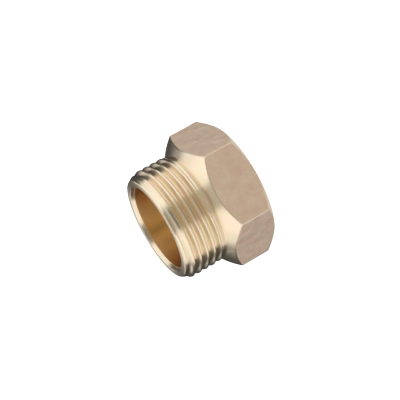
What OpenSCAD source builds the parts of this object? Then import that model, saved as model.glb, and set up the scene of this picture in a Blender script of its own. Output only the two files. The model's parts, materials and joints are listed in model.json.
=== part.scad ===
// Hexagon-headed pipe cap with a male G 3/4 thread, forged and turned in one piece.
// Millimetres. The closed end stands on z = 0 and the threaded mouth points up.

/* [Hexagon] */
// Width across the flats of the hexagon
hex_flats = 29; // [28.8:0.1:34]
// Height of the six corner edges, between the two chamfers
corner_edge = 7; // [5:0.1:12]
// Diameter of the flat closed end
end_face_d = 28.6; // [24:0.1:28.6]
// Slope of the chamfer round the closed end, from the end face
end_chamfer = 35; // [20:1:45]
// Slope of the cone between the hexagon and the spigot, from square to the axis
shoulder_slope = 38; // [30:1:50]

/* [Thread] */
// Outside diameter of the thread
thread_d = 26.441; // [26.2:0.001:27]
// Distance from one crest to the next
pitch = 1.814; // [1.4:0.001:2]
// Angle between the two flanks of a tooth
flank_angle = 55; // [50:1:60]

/* [Spigot] */
// Length of the spigot, from the foot of the cone to the mouth
spigot = 10.6; // [8:0.1:16]
// Length of the plain neck between the cone and the thread
neck = 1.3; // [0.6:0.1:2]
// Diameter of the plain neck
neck_d = 26.1; // [25.4:0.1:26.1]
// Outside diameter of the flat ring at the mouth
mouth_d = 24; // [23:0.1:26]
// Slope of the bevel round the mouth, from the axis
mouth_bevel = 30; // [20:1:45]

/* [Bore] */
// Diameter of the hollow
bore_d = 20; // [14:0.5:21]
// Depth of the hollow, from the mouth
bore_depth = 18; // [8:0.5:18]
// Width of the countersink at the mouth
countersink_w = 0.5; // [0.2:0.1:0.8]
// Depth of the countersink at the mouth
countersink_h = 0.8; // [0.2:0.1:1.5]
// Width and height of the bevel round the floor of the hollow
floor_bevel = 1; // [0.2:0.1:2]

/* [Hidden] */

// Small overlap, so that no two shapes only touch
lap = 0.1;
// Facets of the preview only: the round shapes are true circles
$fn = 96;

hex_corner_r = hex_flats / 2 / cos(30);
end_chamfer_h = (hex_corner_r - end_face_d / 2) * tan(end_chamfer);
corner_top_z = end_chamfer_h + corner_edge;
cone_foot_z = corner_top_z + (hex_corner_r - neck_d / 2) * tan(shoulder_slope);
mouth_z = cone_foot_z + spigot;
floor_z = mouth_z - bore_depth;

// The thread form is a sharp triangle with a sixth of its height cut off at crest and at root
half_flank = flank_angle / 2;
triangle_h = pitch / 2 / tan(half_flank);
thread_r = thread_d / 2;
root_r = thread_r - triangle_h * 2 / 3;
crest_half = triangle_h / 6 * tan(half_flank);
root_half = pitch / 2 - crest_half;
first_crest_z = cone_foot_z + neck;
last_ridge = ceil((mouth_z - first_crest_z) / pitch);
mouth_bevel_h = (thread_d - mouth_d) / 2 / tan(mouth_bevel);

// Hexagonal prism trimmed by a cone at each end, with one flat square to the Y axis
module hexagon_head() {
    intersection() {
        cylinder(r = hex_corner_r, h = cone_foot_z, $fn = 6);
        rotate_extrude()
            polygon([
                [0, 0],
                [end_face_d / 2, 0],
                [hex_corner_r, end_chamfer_h],
                [hex_corner_r + lap, end_chamfer_h],
                [hex_corner_r + lap, corner_top_z],
                [hex_corner_r, corner_top_z],
                [neck_d / 2, cone_foot_z],
                [0, cone_foot_z]
            ]);
    }
}

// One turn of the thread at a given height, as a level ridge
module thread_ridge(z) {
    translate([0, 0, z])
        rotate_extrude()
            polygon([
                [root_r - lap, -root_half],
                [root_r, -root_half],
                [thread_r, -crest_half],
                [thread_r, crest_half],
                [root_r, root_half],
                [root_r - lap, root_half]
            ]);
}

// Plain neck, thread core and one ridge to each pitch
module spigot_blank() {
    translate([0, 0, cone_foot_z - lap])
        cylinder(d = neck_d, h = neck + lap);
    translate([0, 0, cone_foot_z - lap])
        cylinder(r = root_r, h = spigot + lap);
    for (i = [0 : last_ridge])
        thread_ridge(first_crest_z + i * pitch);
}

// What is turned away beyond the mouth and outside its bevel
module mouth_trim() {
    rotate_extrude()
        polygon([
            [0, mouth_z],
            [mouth_d / 2, mouth_z],
            [thread_r + lap, mouth_z - mouth_bevel_h - lap / tan(mouth_bevel)],
            [thread_r + pitch, mouth_z - mouth_bevel_h - lap / tan(mouth_bevel)],
            [thread_r + pitch, mouth_z + 2 * pitch],
            [0, mouth_z + 2 * pitch]
        ]);
}

// Blind hollow with a bevelled floor and a countersunk mouth
module hollow() {
    translate([0, 0, floor_z + floor_bevel])
        cylinder(d = bore_d, h = bore_depth);
    translate([0, 0, floor_z])
        cylinder(r1 = bore_d / 2 - floor_bevel, r2 = bore_d / 2, h = floor_bevel);
    translate([0, 0, mouth_z - countersink_h])
        cylinder(r1 = bore_d / 2, r2 = bore_d / 2 + countersink_w, h = countersink_h);
}

module cap_body() {
    color("#c9a878")
        difference() {
            union() {
                hexagon_head();
                spigot_blank();
            }
            mouth_trim();
            hollow();
        }
}

cap_body();
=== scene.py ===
import json
import math

import bmesh
import bpy
import numpy as np
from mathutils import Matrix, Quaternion, Vector


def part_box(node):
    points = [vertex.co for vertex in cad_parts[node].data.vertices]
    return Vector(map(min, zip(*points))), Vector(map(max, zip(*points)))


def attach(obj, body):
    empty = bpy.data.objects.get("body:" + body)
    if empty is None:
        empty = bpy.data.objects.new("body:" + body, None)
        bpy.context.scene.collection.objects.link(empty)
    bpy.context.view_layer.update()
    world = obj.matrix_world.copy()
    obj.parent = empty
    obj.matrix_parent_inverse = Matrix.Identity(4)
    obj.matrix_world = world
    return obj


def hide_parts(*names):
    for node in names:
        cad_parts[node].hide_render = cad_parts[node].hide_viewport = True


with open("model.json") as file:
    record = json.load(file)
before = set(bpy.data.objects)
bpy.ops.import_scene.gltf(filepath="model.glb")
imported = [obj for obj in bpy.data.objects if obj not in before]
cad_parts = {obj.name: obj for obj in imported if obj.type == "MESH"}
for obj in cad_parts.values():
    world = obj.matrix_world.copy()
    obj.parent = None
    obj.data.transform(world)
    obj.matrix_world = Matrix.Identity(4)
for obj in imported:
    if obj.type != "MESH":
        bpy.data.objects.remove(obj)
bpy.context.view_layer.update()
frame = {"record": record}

# ---------------------------------------------------------------------------------------------------
# The forged hexagon. The cap is one piece of brass, hot-forged as a hexagonal slug and shot-blasted
# all over. A lathe then faces the closed end, bevels its rim and turns the cone under the thread,
# so only the six flats and their edges keep the forged skin.

mm = 0.001
low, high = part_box("cap_body")
corner_r = high.x
flat_r = high.y
mouth_z = high.z
end_face_r = 14.3 * mm
end_slope = math.radians(35)
shoulder_slope = math.radians(38)
corner_edge = 7 * mm
neck_r = 13.05 * mm
neck_length = 1.3 * mm
relief_depth = 0.3 * mm
relief_width = 1.05 * mm
edge_round = 0.35 * mm

corner_top_z = (corner_r - end_face_r) * math.tan(end_slope) + corner_edge
cone_foot_z = corner_top_z + (corner_r - neck_r) * math.tan(shoulder_slope)
thread_start_z = cone_foot_z + neck_length

# Columns crowd towards the six corners: u runs from -1 to 1 over each flat
steps_half_flat = 28
crowding = 1.6
u = np.arange(-steps_half_flat, steps_half_flat) / steps_half_flat
from_middle = math.radians(30) * np.sign(u) * (1 - (1 - np.abs(u)) ** crowding)
sector = np.radians(30 + 60 * np.arange(6))
angle = np.append((sector[:, None] + from_middle).ravel(), math.radians(360))
across = np.append(np.tile(from_middle, 6), math.radians(-30))


def hexagon_radius(across):
    """Distance from the axis to a hexagon with rounded corners, at an angle from the middle of a flat.

    On the flat it is a / cos(angle), for the flat's distance a. Nearer than q / 2 to a corner's middle
    it is the far side of a circle of radius q centred at c = (a - q) / cos(30): with t the angle from
    the corner, it is c cos(t) + sqrt(q^2 - c^2 sin^2(t)).
    """
    centre = (flat_r - edge_round) / math.cos(math.radians(30))
    from_corner = math.radians(30) - np.abs(across)
    inside = np.maximum(edge_round**2 - (centre * np.sin(from_corner)) ** 2, 0)
    corner = centre * np.cos(from_corner) + np.sqrt(inside)
    flat = flat_r / np.cos(across)
    return np.where(flat * np.sin(from_corner) < edge_round / 2, corner, flat)


def turned_rows(corners, rounding, steps, finish):
    """Radii and heights of a turned outline as (rows, columns, 2), with the finish of each band.

    The outline runs straight from each corner point to the next in equal steps. At an inner corner P
    it leaves the line at A and joins the next line at B, the rounding's length before and after P,
    along the curve (1-t)^2 A + 2t(1-t) P + t^2 B. Corners are numbers or one value per column.
    """
    largest_share = 0.45
    points_a_corner = 4
    points = np.stack([np.stack(np.broadcast_arrays(*c, angle)[:2], -1) for c in corners])
    run = np.diff(points, axis=0)
    length = np.linalg.norm(run, axis=2, keepdims=True)
    ahead = run / np.maximum(length, 1e-9)
    cut = np.array([0, *rounding, 0])[:, None, None]
    leave = points[1:] - ahead * np.minimum(cut[1:], length * largest_share)
    join = points[:-1] + ahead * np.minimum(cut[:-1], length * largest_share)
    rows = []
    bands = []
    for k, count in enumerate(steps):
        t = np.linspace(0, 1, count + 1)[:, None, None]
        rows.append(join[k] * (1 - t) + leave[k] * t)
        bands += [finish[k]] * count
        if k + 1 < len(steps):
            t = (np.arange(1, points_a_corner + 1) / (points_a_corner + 1))[:, None, None]
            rows.append(leave[k] * (1 - t) ** 2 + 2 * t * (1 - t) * points[k + 1] + join[k + 1] * t**2)
            bands += [finish[k]] * 2 + [finish[k + 1]] * 3
    return np.concatenate(rows), bands


BLASTED, TURNED, BORED = range(3)
hexagon_r = hexagon_radius(across)
rim_z = (hexagon_r - end_face_r) * math.tan(end_slope)


def shoulder_z(radius):
    """Height of the cone at a radius: a straight fall from the corners' top."""
    return corner_top_z + (corner_r - radius) * math.tan(shoulder_slope)


outside, outside_bands = turned_rows(
    [
        (0, 0),
        (end_face_r, 0),
        (hexagon_r, rim_z),
        (hexagon_r, shoulder_z(hexagon_r)),
        (neck_r - relief_depth, shoulder_z(neck_r - relief_depth)),
        (neck_r - relief_depth, cone_foot_z + relief_depth),
        (neck_r, cone_foot_z + relief_width),
        (neck_r, thread_start_z),
    ],
    rounding=[step * mm for step in (0.2, 0.25, 0.25, 0.08, 0.08, 0.08)],
    steps=[12, 6, 16, 16, 1, 3, 2],
    finish=[TURNED, TURNED, BLASTED] + [TURNED] * 4,
)

# ---------------------------------------------------------------------------------------------------
# The thread: a right-hand pipe thread cut on the lathe, of 14 turns to the inch. Its crests and roots
# are rounded, the groove runs out into the neck, and the mouth's bevel cuts its first turn short.

thread = next(m for m in frame["record"]["mounts"] if m["name"] == "male_thread")
thread_r = thread["dims"]["r_mm"] * mm
pitch = 25.4 * mm / 14
half_flank = math.radians(27.5)
thread_depth = 0.6403 * pitch
root_r = thread_r - thread_depth
crest_edge = 0.12 * mm
root_edge = 0.3 * mm
groove_runout = 0.5 * mm
mouth_r = 12 * mm
mouth_bevel = math.radians(30)
mouth_edge = 0.12 * mm
lip_edge = 0.5 * mm
steps_a_turn = 22
# Height of one crest on the +X side, which sets where the helix starts
crest_z = 13.87 * mm


def soft_min(a, b, width):
    """The smaller of a and b, eased where they differ by less than a width w.

    It is min(a, b) - w/4 (1 - |a - b| / w)^2, and past that width it is min(a, b).
    """
    return np.minimum(a, b) - np.maximum(1 - np.abs(a - b) / width, 0) ** 2 * width / 4


def thread_form(offset):
    """Radius of the thread at a distance along the axis from the middle of a crest.

    The flank is straight, mean radius + (pitch / 4 - x) / tan(27.5). The blank's outside cuts it off
    flat at the crest, with a small broken edge, and the tool's round nose at the root.
    """
    x = np.abs((offset / pitch + 0.5) % 1 - 0.5) * pitch
    flank = (thread_r + root_r) / 2 + (pitch / 4 - x) / math.tan(half_flank)
    return -soft_min(-root_r, -soft_min(thread_r, flank, crest_edge), root_edge)


def thread_rows(bottom, top):
    """Rows that follow the helix, each one a fixed part of a turn past a crest, held to the two ends.

    A row's height is crest + pitch (s - 0.05 sin(4 pi s) + angle / 2 pi), which crowds the rows at
    crests and roots. Its radius is the thread form, faded in above the neck and cut off by the bevel.
    """
    first_turn = math.floor((bottom - crest_z) / pitch - 1)
    turns = np.arange(first_turn, (top - crest_z) / pitch + 1, 1 / steps_a_turn)
    along = turns - 0.05 * np.sin(4 * math.pi * turns)
    height = np.clip(crest_z + pitch * (along[:, None] + angle / (2 * math.pi)), bottom, top)
    form = thread_form(height - crest_z - pitch * angle / (2 * math.pi))
    fade = np.clip((height - bottom) / groove_runout, 0, 1)
    fade = fade * fade * (3 - 2 * fade)
    cut = neck_r + (form - neck_r) * fade
    bevel = mouth_r + (mouth_z - height) * math.tan(mouth_bevel)
    return np.stack([soft_min(cut, bevel, mouth_edge), height], -1)


threaded = thread_rows(thread_start_z, mouth_z - lip_edge)
threaded_bands = [TURNED] * (len(threaded) - 1)

# ---------------------------------------------------------------------------------------------------
# The mouth and the hollow: a flat ring faced on the lathe, a small countersink and a blind bore with
# a bevelled floor, bored out to leave an even wall.

bore = next(m for m in frame["record"]["mounts"] if m["name"] == "hollow")
bore_r = bore["dims"]["r_mm"] * mm
bore_depth = 18 * mm
countersink_w = 0.5 * mm
countersink_h = 0.8 * mm
floor_bevel = 1 * mm
floor_z = mouth_z - bore_depth

rim_r = threaded[-1, :, 0]
inside, inside_bands = turned_rows(
    [
        (rim_r, mouth_z - lip_edge),
        (rim_r - lip_edge * math.tan(mouth_bevel), mouth_z),
        (bore_r + countersink_w, mouth_z),
        (bore_r, mouth_z - countersink_h),
        (bore_r, floor_z + floor_bevel),
        (bore_r - floor_bevel, floor_z),
        (0, floor_z),
    ],
    rounding=[0.4 * mm, 0.15 * mm, 0.15 * mm, 0.4 * mm, 0.4 * mm],
    steps=[2, 8, 5, 22, 4, 10],
    finish=[TURNED, TURNED, TURNED, BORED, BORED, BORED],
)


def lathe_mesh(name, parts):
    """One closed mesh from sheets of (rows, columns, 2) radii and heights, joined where they meet.

    A point is at (r cos(angle), r sin(angle), height). The last column lies on the first, the centres
    and the sheets' ends lie on each other, and merging equal points closes them.
    """
    merged_within = 0.0005 * mm
    shortest_edge = 0.0002 * mm
    points, faces, finishes = [], [], []
    start = 0
    for rows, bands in parts:
        radius, height = rows[..., 0], rows[..., 1]
        xyz = np.stack([radius * np.cos(angle), radius * np.sin(angle), height], -1)
        number = start + np.arange(radius.size).reshape(radius.shape)
        quads = np.stack([number[:-1, :-1], number[:-1, 1:], number[1:, 1:], number[1:, :-1]], -1)
        points.append(xyz.reshape(-1, 3))
        faces.append(quads.reshape(-1, 4))
        finishes.append(np.repeat(bands, radius.shape[1] - 1))
        start += radius.size
    points, faces = np.concatenate(points), np.concatenate(faces)
    mesh = bpy.data.meshes.new(name)
    mesh.vertices.add(len(points))
    mesh.vertices.foreach_set("co", points.ravel())
    mesh.loops.add(faces.size)
    mesh.loops.foreach_set("vertex_index", faces.ravel())
    mesh.polygons.add(len(faces))
    mesh.polygons.foreach_set("loop_start", np.arange(0, faces.size, 4))
    mesh.polygons.foreach_set("material_index", np.concatenate(finishes))
    mesh.update(calc_edges=True)
    shell = bmesh.new()
    shell.from_mesh(mesh)
    bmesh.ops.remove_doubles(shell, verts=shell.verts, dist=merged_within)
    bmesh.ops.dissolve_degenerate(shell, edges=shell.edges, dist=shortest_edge)
    shell.to_mesh(mesh)
    shell.free()
    mesh.shade_smooth()
    return mesh


cap = bpy.data.objects.new(
    "cap",
    lathe_mesh("cap", [(outside, outside_bands), (threaded, threaded_bands), (inside, inside_bands)]),
)
bpy.context.scene.collection.objects.link(cap)


def srgb(code):
    """Linear RGBA of an sRGB hex colour: ((c + 0.055) / 1.055) ^ 2.4, or c / 12.92 up to 0.04045."""
    c = np.array([int(code[i : i + 2], 16) for i in (1, 3, 5)]) / 255
    return (*np.where(c > 0.04045, ((c + 0.055) / 1.055) ** 2.4, c / 12.92), 1.0)


def add_node(tree, kind, sockets, **settings):
    """Adds a node, sets its settings, and fills or links its input sockets."""
    made = tree.nodes.new("ShaderNode" + kind)
    for name, value in settings.items():
        setattr(made, name, value)
    for name, value in sockets.items():
        if isinstance(value, bpy.types.NodeSocket):
            tree.links.new(value, made.inputs[name])
        else:
            made.inputs[name].default_value = value
    return made


def bare_brass(name):
    """A new metal: its material, node tree, shader, and place in the cap's own frame."""
    made = bpy.data.materials.new(name)
    made.use_nodes = True
    tree = made.node_tree
    shader = tree.nodes["Principled BSDF"]
    shader.inputs["Metallic"].default_value = 1
    place = add_node(tree, "TexCoord", {}).outputs["Object"]
    return made, tree, shader, place


def clouded(tree, noise, start, end, first, second):
    """The colour between two, going from first to second as a noise goes from start to end.

    Inputs 0, 6 and 7 of a colour mix are its share and its two colours, and output 2 is the result.
    """
    spread = add_node(
        tree, "MapRange", {"Value": noise.outputs["Fac"], "From Min": start, "From Max": end}
    )
    sockets = {0: spread.outputs["Result"], 6: srgb(first), 7: srgb(second)}
    return add_node(tree, "Mix", sockets, data_type="RGBA").outputs[2]


# Hot-forged brass, shot-blasted: a dull pinkish tan skin of fine dents, so it has no clear reflection
def shot_blasted_brass():
    stain_size = 2.2 * mm
    dent_size = 0.45 * mm
    dent_depth = 0.06 * mm
    wave_size = 2.5 * mm
    wave_depth = 0.3 * mm
    dullest = 0.54
    brightest = 0.46
    made, tree, shader, place = bare_brass("shot_blasted_brass")
    stain = add_node(
        tree, "TexNoise", {"Vector": place, "Scale": 1 / stain_size, "Detail": 5, "Roughness": 0.65}
    )
    colour = clouded(tree, stain, 0.32, 0.68, "#EFD0B9", "#F6E2CB")
    tree.links.new(colour, shader.inputs["Base Color"])
    dull = add_node(
        tree, "MapRange", {"Value": stain.outputs["Fac"], "To Min": dullest, "To Max": brightest}
    )
    tree.links.new(dull.outputs["Result"], shader.inputs["Roughness"])
    dents = add_node(tree, "TexNoise", {"Vector": place, "Scale": 1 / dent_size, "Detail": 3})
    bump = add_node(
        tree, "Bump", {"Height": dents.outputs["Fac"], "Distance": dent_depth, "Strength": 0.6}
    )
    waves = add_node(tree, "TexNoise", {"Vector": place, "Scale": 1 / wave_size, "Detail": 1})
    uneven = add_node(
        tree,
        "Bump",
        {
            "Height": waves.outputs["Fac"],
            "Distance": wave_depth,
            "Strength": 0.5,
            "Normal": bump.outputs["Normal"],
        },
    )
    tree.links.new(uneven.outputs["Normal"], shader.inputs["Normal"])
    return made


# Turned brass: bright warm yellow, faintly clouded with pink and green where it has been handled, with
# rings left by the tool, so highlights stretch across the rings
def turned_brass(name, pinkish, greenish, roughness):
    cloud_size = 3 * mm
    ring_width = 0.3 * mm
    ring_depth = 0.01 * mm
    made, tree, shader, place = bare_brass(name)
    shader.inputs["Roughness"].default_value = roughness
    shader.inputs["Anisotropic"].default_value = 0.8
    shader.inputs["Anisotropic Rotation"].default_value = 0.25
    around = add_node(tree, "Tangent", {}, direction_type="RADIAL", axis="Z")
    tree.links.new(around.outputs["Tangent"], shader.inputs["Tangent"])
    cloud = add_node(tree, "TexNoise", {"Vector": place, "Scale": 1 / cloud_size, "Detail": 2})
    colour = clouded(tree, cloud, 0.35, 0.65, pinkish, greenish)
    tree.links.new(colour, shader.inputs["Base Color"])
    flat = add_node(tree, "VectorMath", {0: place, 1: (1, 1, 0)}, operation="MULTIPLY")
    radius = add_node(tree, "VectorMath", {0: flat.outputs[0]}, operation="LENGTH")
    height = add_node(tree, "SeparateXYZ", {0: place})
    ring = add_node(tree, "CombineXYZ", {0: radius.outputs["Value"], 1: height.outputs["Z"]})
    marks = add_node(tree, "TexNoise", {"Vector": ring.outputs[0], "Scale": 1 / ring_width})
    bump = add_node(
        tree, "Bump", {"Height": marks.outputs["Fac"], "Distance": ring_depth, "Strength": 0.5}
    )
    tree.links.new(bump.outputs["Normal"], shader.inputs["Normal"])
    return made


cap.data.materials.append(shot_blasted_brass())
cap.data.materials.append(turned_brass("turned_brass", "#F5DFC6", "#F2E4C6", 0.28))
cap.data.materials.append(turned_brass("bored_brass", "#F2DDB9", "#F0E0BB", 0.22))
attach(cap, "root")
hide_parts("cap_body")

# ---------------------------------------------------------------------------------------------------
# The light table that the cap stands on: a wide sheet of opal acrylic, lit from below to a plain white.
# It is shown to the camera alone, so that it casts neither a shadow nor a white reflection.

table_r = 4.0
table_sides = 64
table_z = low.z - 0.05 * mm
table_mesh = bpy.data.meshes.new("light_table")
corner = np.radians(np.arange(table_sides) * 360 / table_sides)
table_mesh.from_pydata(
    np.stack([table_r * np.cos(corner), table_r * np.sin(corner), corner * 0 + table_z], -1).tolist(),
    [],
    [list(range(table_sides))],
)
light_table = bpy.data.objects.new("light_table", table_mesh)
bpy.context.scene.collection.objects.link(light_table)
light_table.visible_glossy = False
light_table.visible_diffuse = False
light_table.visible_shadow = False
opal = bpy.data.materials.new("opal_acrylic")
opal.use_nodes = True
opal.node_tree.nodes["Principled BSDF"].inputs["Base Color"].default_value = srgb("#E6E6E6")
opal.node_tree.nodes["Principled BSDF"].inputs["Roughness"].default_value = 0.6
opal.node_tree.nodes["Principled BSDF"].inputs["Emission Color"].default_value = srgb("#FFFFFF")
opal.node_tree.nodes["Principled BSDF"].inputs["Emission Strength"].default_value = 1.0
table_mesh.materials.append(opal)

# ---------------------------------------------------------------------------------------------------
# The studio: a box of even diffusing panels round the cap, no two in the same direction, so that their
# light never adds up. It is open at the back, where the dark room gives the turned brass its dark
# edges, and the dimmer strip overhead gives it the brown band down its middle.

world = bpy.data.worlds.new("studio")
bpy.context.scene.world = world
world.use_nodes = True
world.node_tree.nodes["Background"].inputs["Color"].default_value = srgb("#3A3C3C")


def panel(name, place, facing, width, height, radiance, colour="#FFFFFF"):
    """A flat diffusing panel, lit evenly from behind. Its power is radiance x pi x area."""
    light = bpy.data.lights.new(name, "AREA")
    light.shape = "RECTANGLE"
    light.size = width
    light.size_y = height
    light.energy = radiance * math.pi * width * height
    light.color = srgb(colour)[:3]
    made = bpy.data.objects.new(name, light)
    bpy.context.scene.collection.objects.link(made)
    made.location = place
    made.rotation_euler = Vector(facing).to_track_quat("-Z", "Y").to_euler()
    made.visible_camera = False


up = (0, 0, 1)
down = (0, 0, -1)
leftward = (-1, 0, 0)
rightward = (1, 0, 0)
ceiling = 1.2
panel("right_panel", (1, -0.79, 0.275), leftward, 2.42, 1.85, 1.0)
panel("left_panel", (-1, -0.82, 0.275), rightward, 2.36, 1.85, 1.0)
panel("upper_right", (1, 0.66, 0.9), leftward, 0.48, 0.6, 1.0)
panel("upper_left", (-1, 0.61, 0.9), rightward, 0.5, 0.6, 1.0)
panel("front_panel", (0, -2, 0.1), (0, 1, 0), 2.0, 2.2, 0.47, "#FFF2DC")
for side, x in (("right", 1), ("left", -1)):
    panel("overhead_" + side, (x * 0.635, -0.05, ceiling), down, 0.73, 1.1, 1.15)
    panel("overhead_back_" + side, (x * 0.635, 1.55, ceiling), down, 0.73, 2.1, 0.85)
    panel("overhead_front_" + side, (x * 0.775, -0.9, ceiling), down, 0.45, 0.6, 1.1)
    panel("overhead_outer_" + side, (x * 1.2, 2.75, ceiling), down, 0.4, 2.1, 1.0)
panel("overhead_back", (0, 1.95, ceiling), down, 0.54, 2.5, 1.0)
panel("overhead_middle", (0, 0.2, ceiling), down, 0.54, 1.0, 0.4, "#FFFFF0")
panel("overhead_front", (0, -0.45, ceiling), down, 0.54, 0.3, 1.1)
panel("table_light", (0, 0, -1), up, 2, 3, 0.7)

bpy.context.scene.cycles.max_bounces = 16
bpy.context.scene.cycles.glossy_bounces = 12

# ---------------------------------------------------------------------------------------------------
# The camera: a long lens close above the table, rolled so that the mouth points to the lower left.

camera = bpy.data.objects.new("camera", bpy.data.cameras.new("camera"))
bpy.context.scene.collection.objects.link(camera)
camera.data.lens = 135.3
camera.location = Vector((0, -322.1, 106.9)) * mm
aim = Vector((0.83, 0, 9.90)) * mm
roll = Quaternion((0, 0, 1), math.radians(-119.35))
camera.rotation_mode = "QUATERNION"
camera.rotation_quaternion = (aim - camera.location).to_track_quat("-Z", "Y") @ roll
bpy.context.scene.camera = camera
bpy.context.scene.view_settings.view_transform = "Standard"
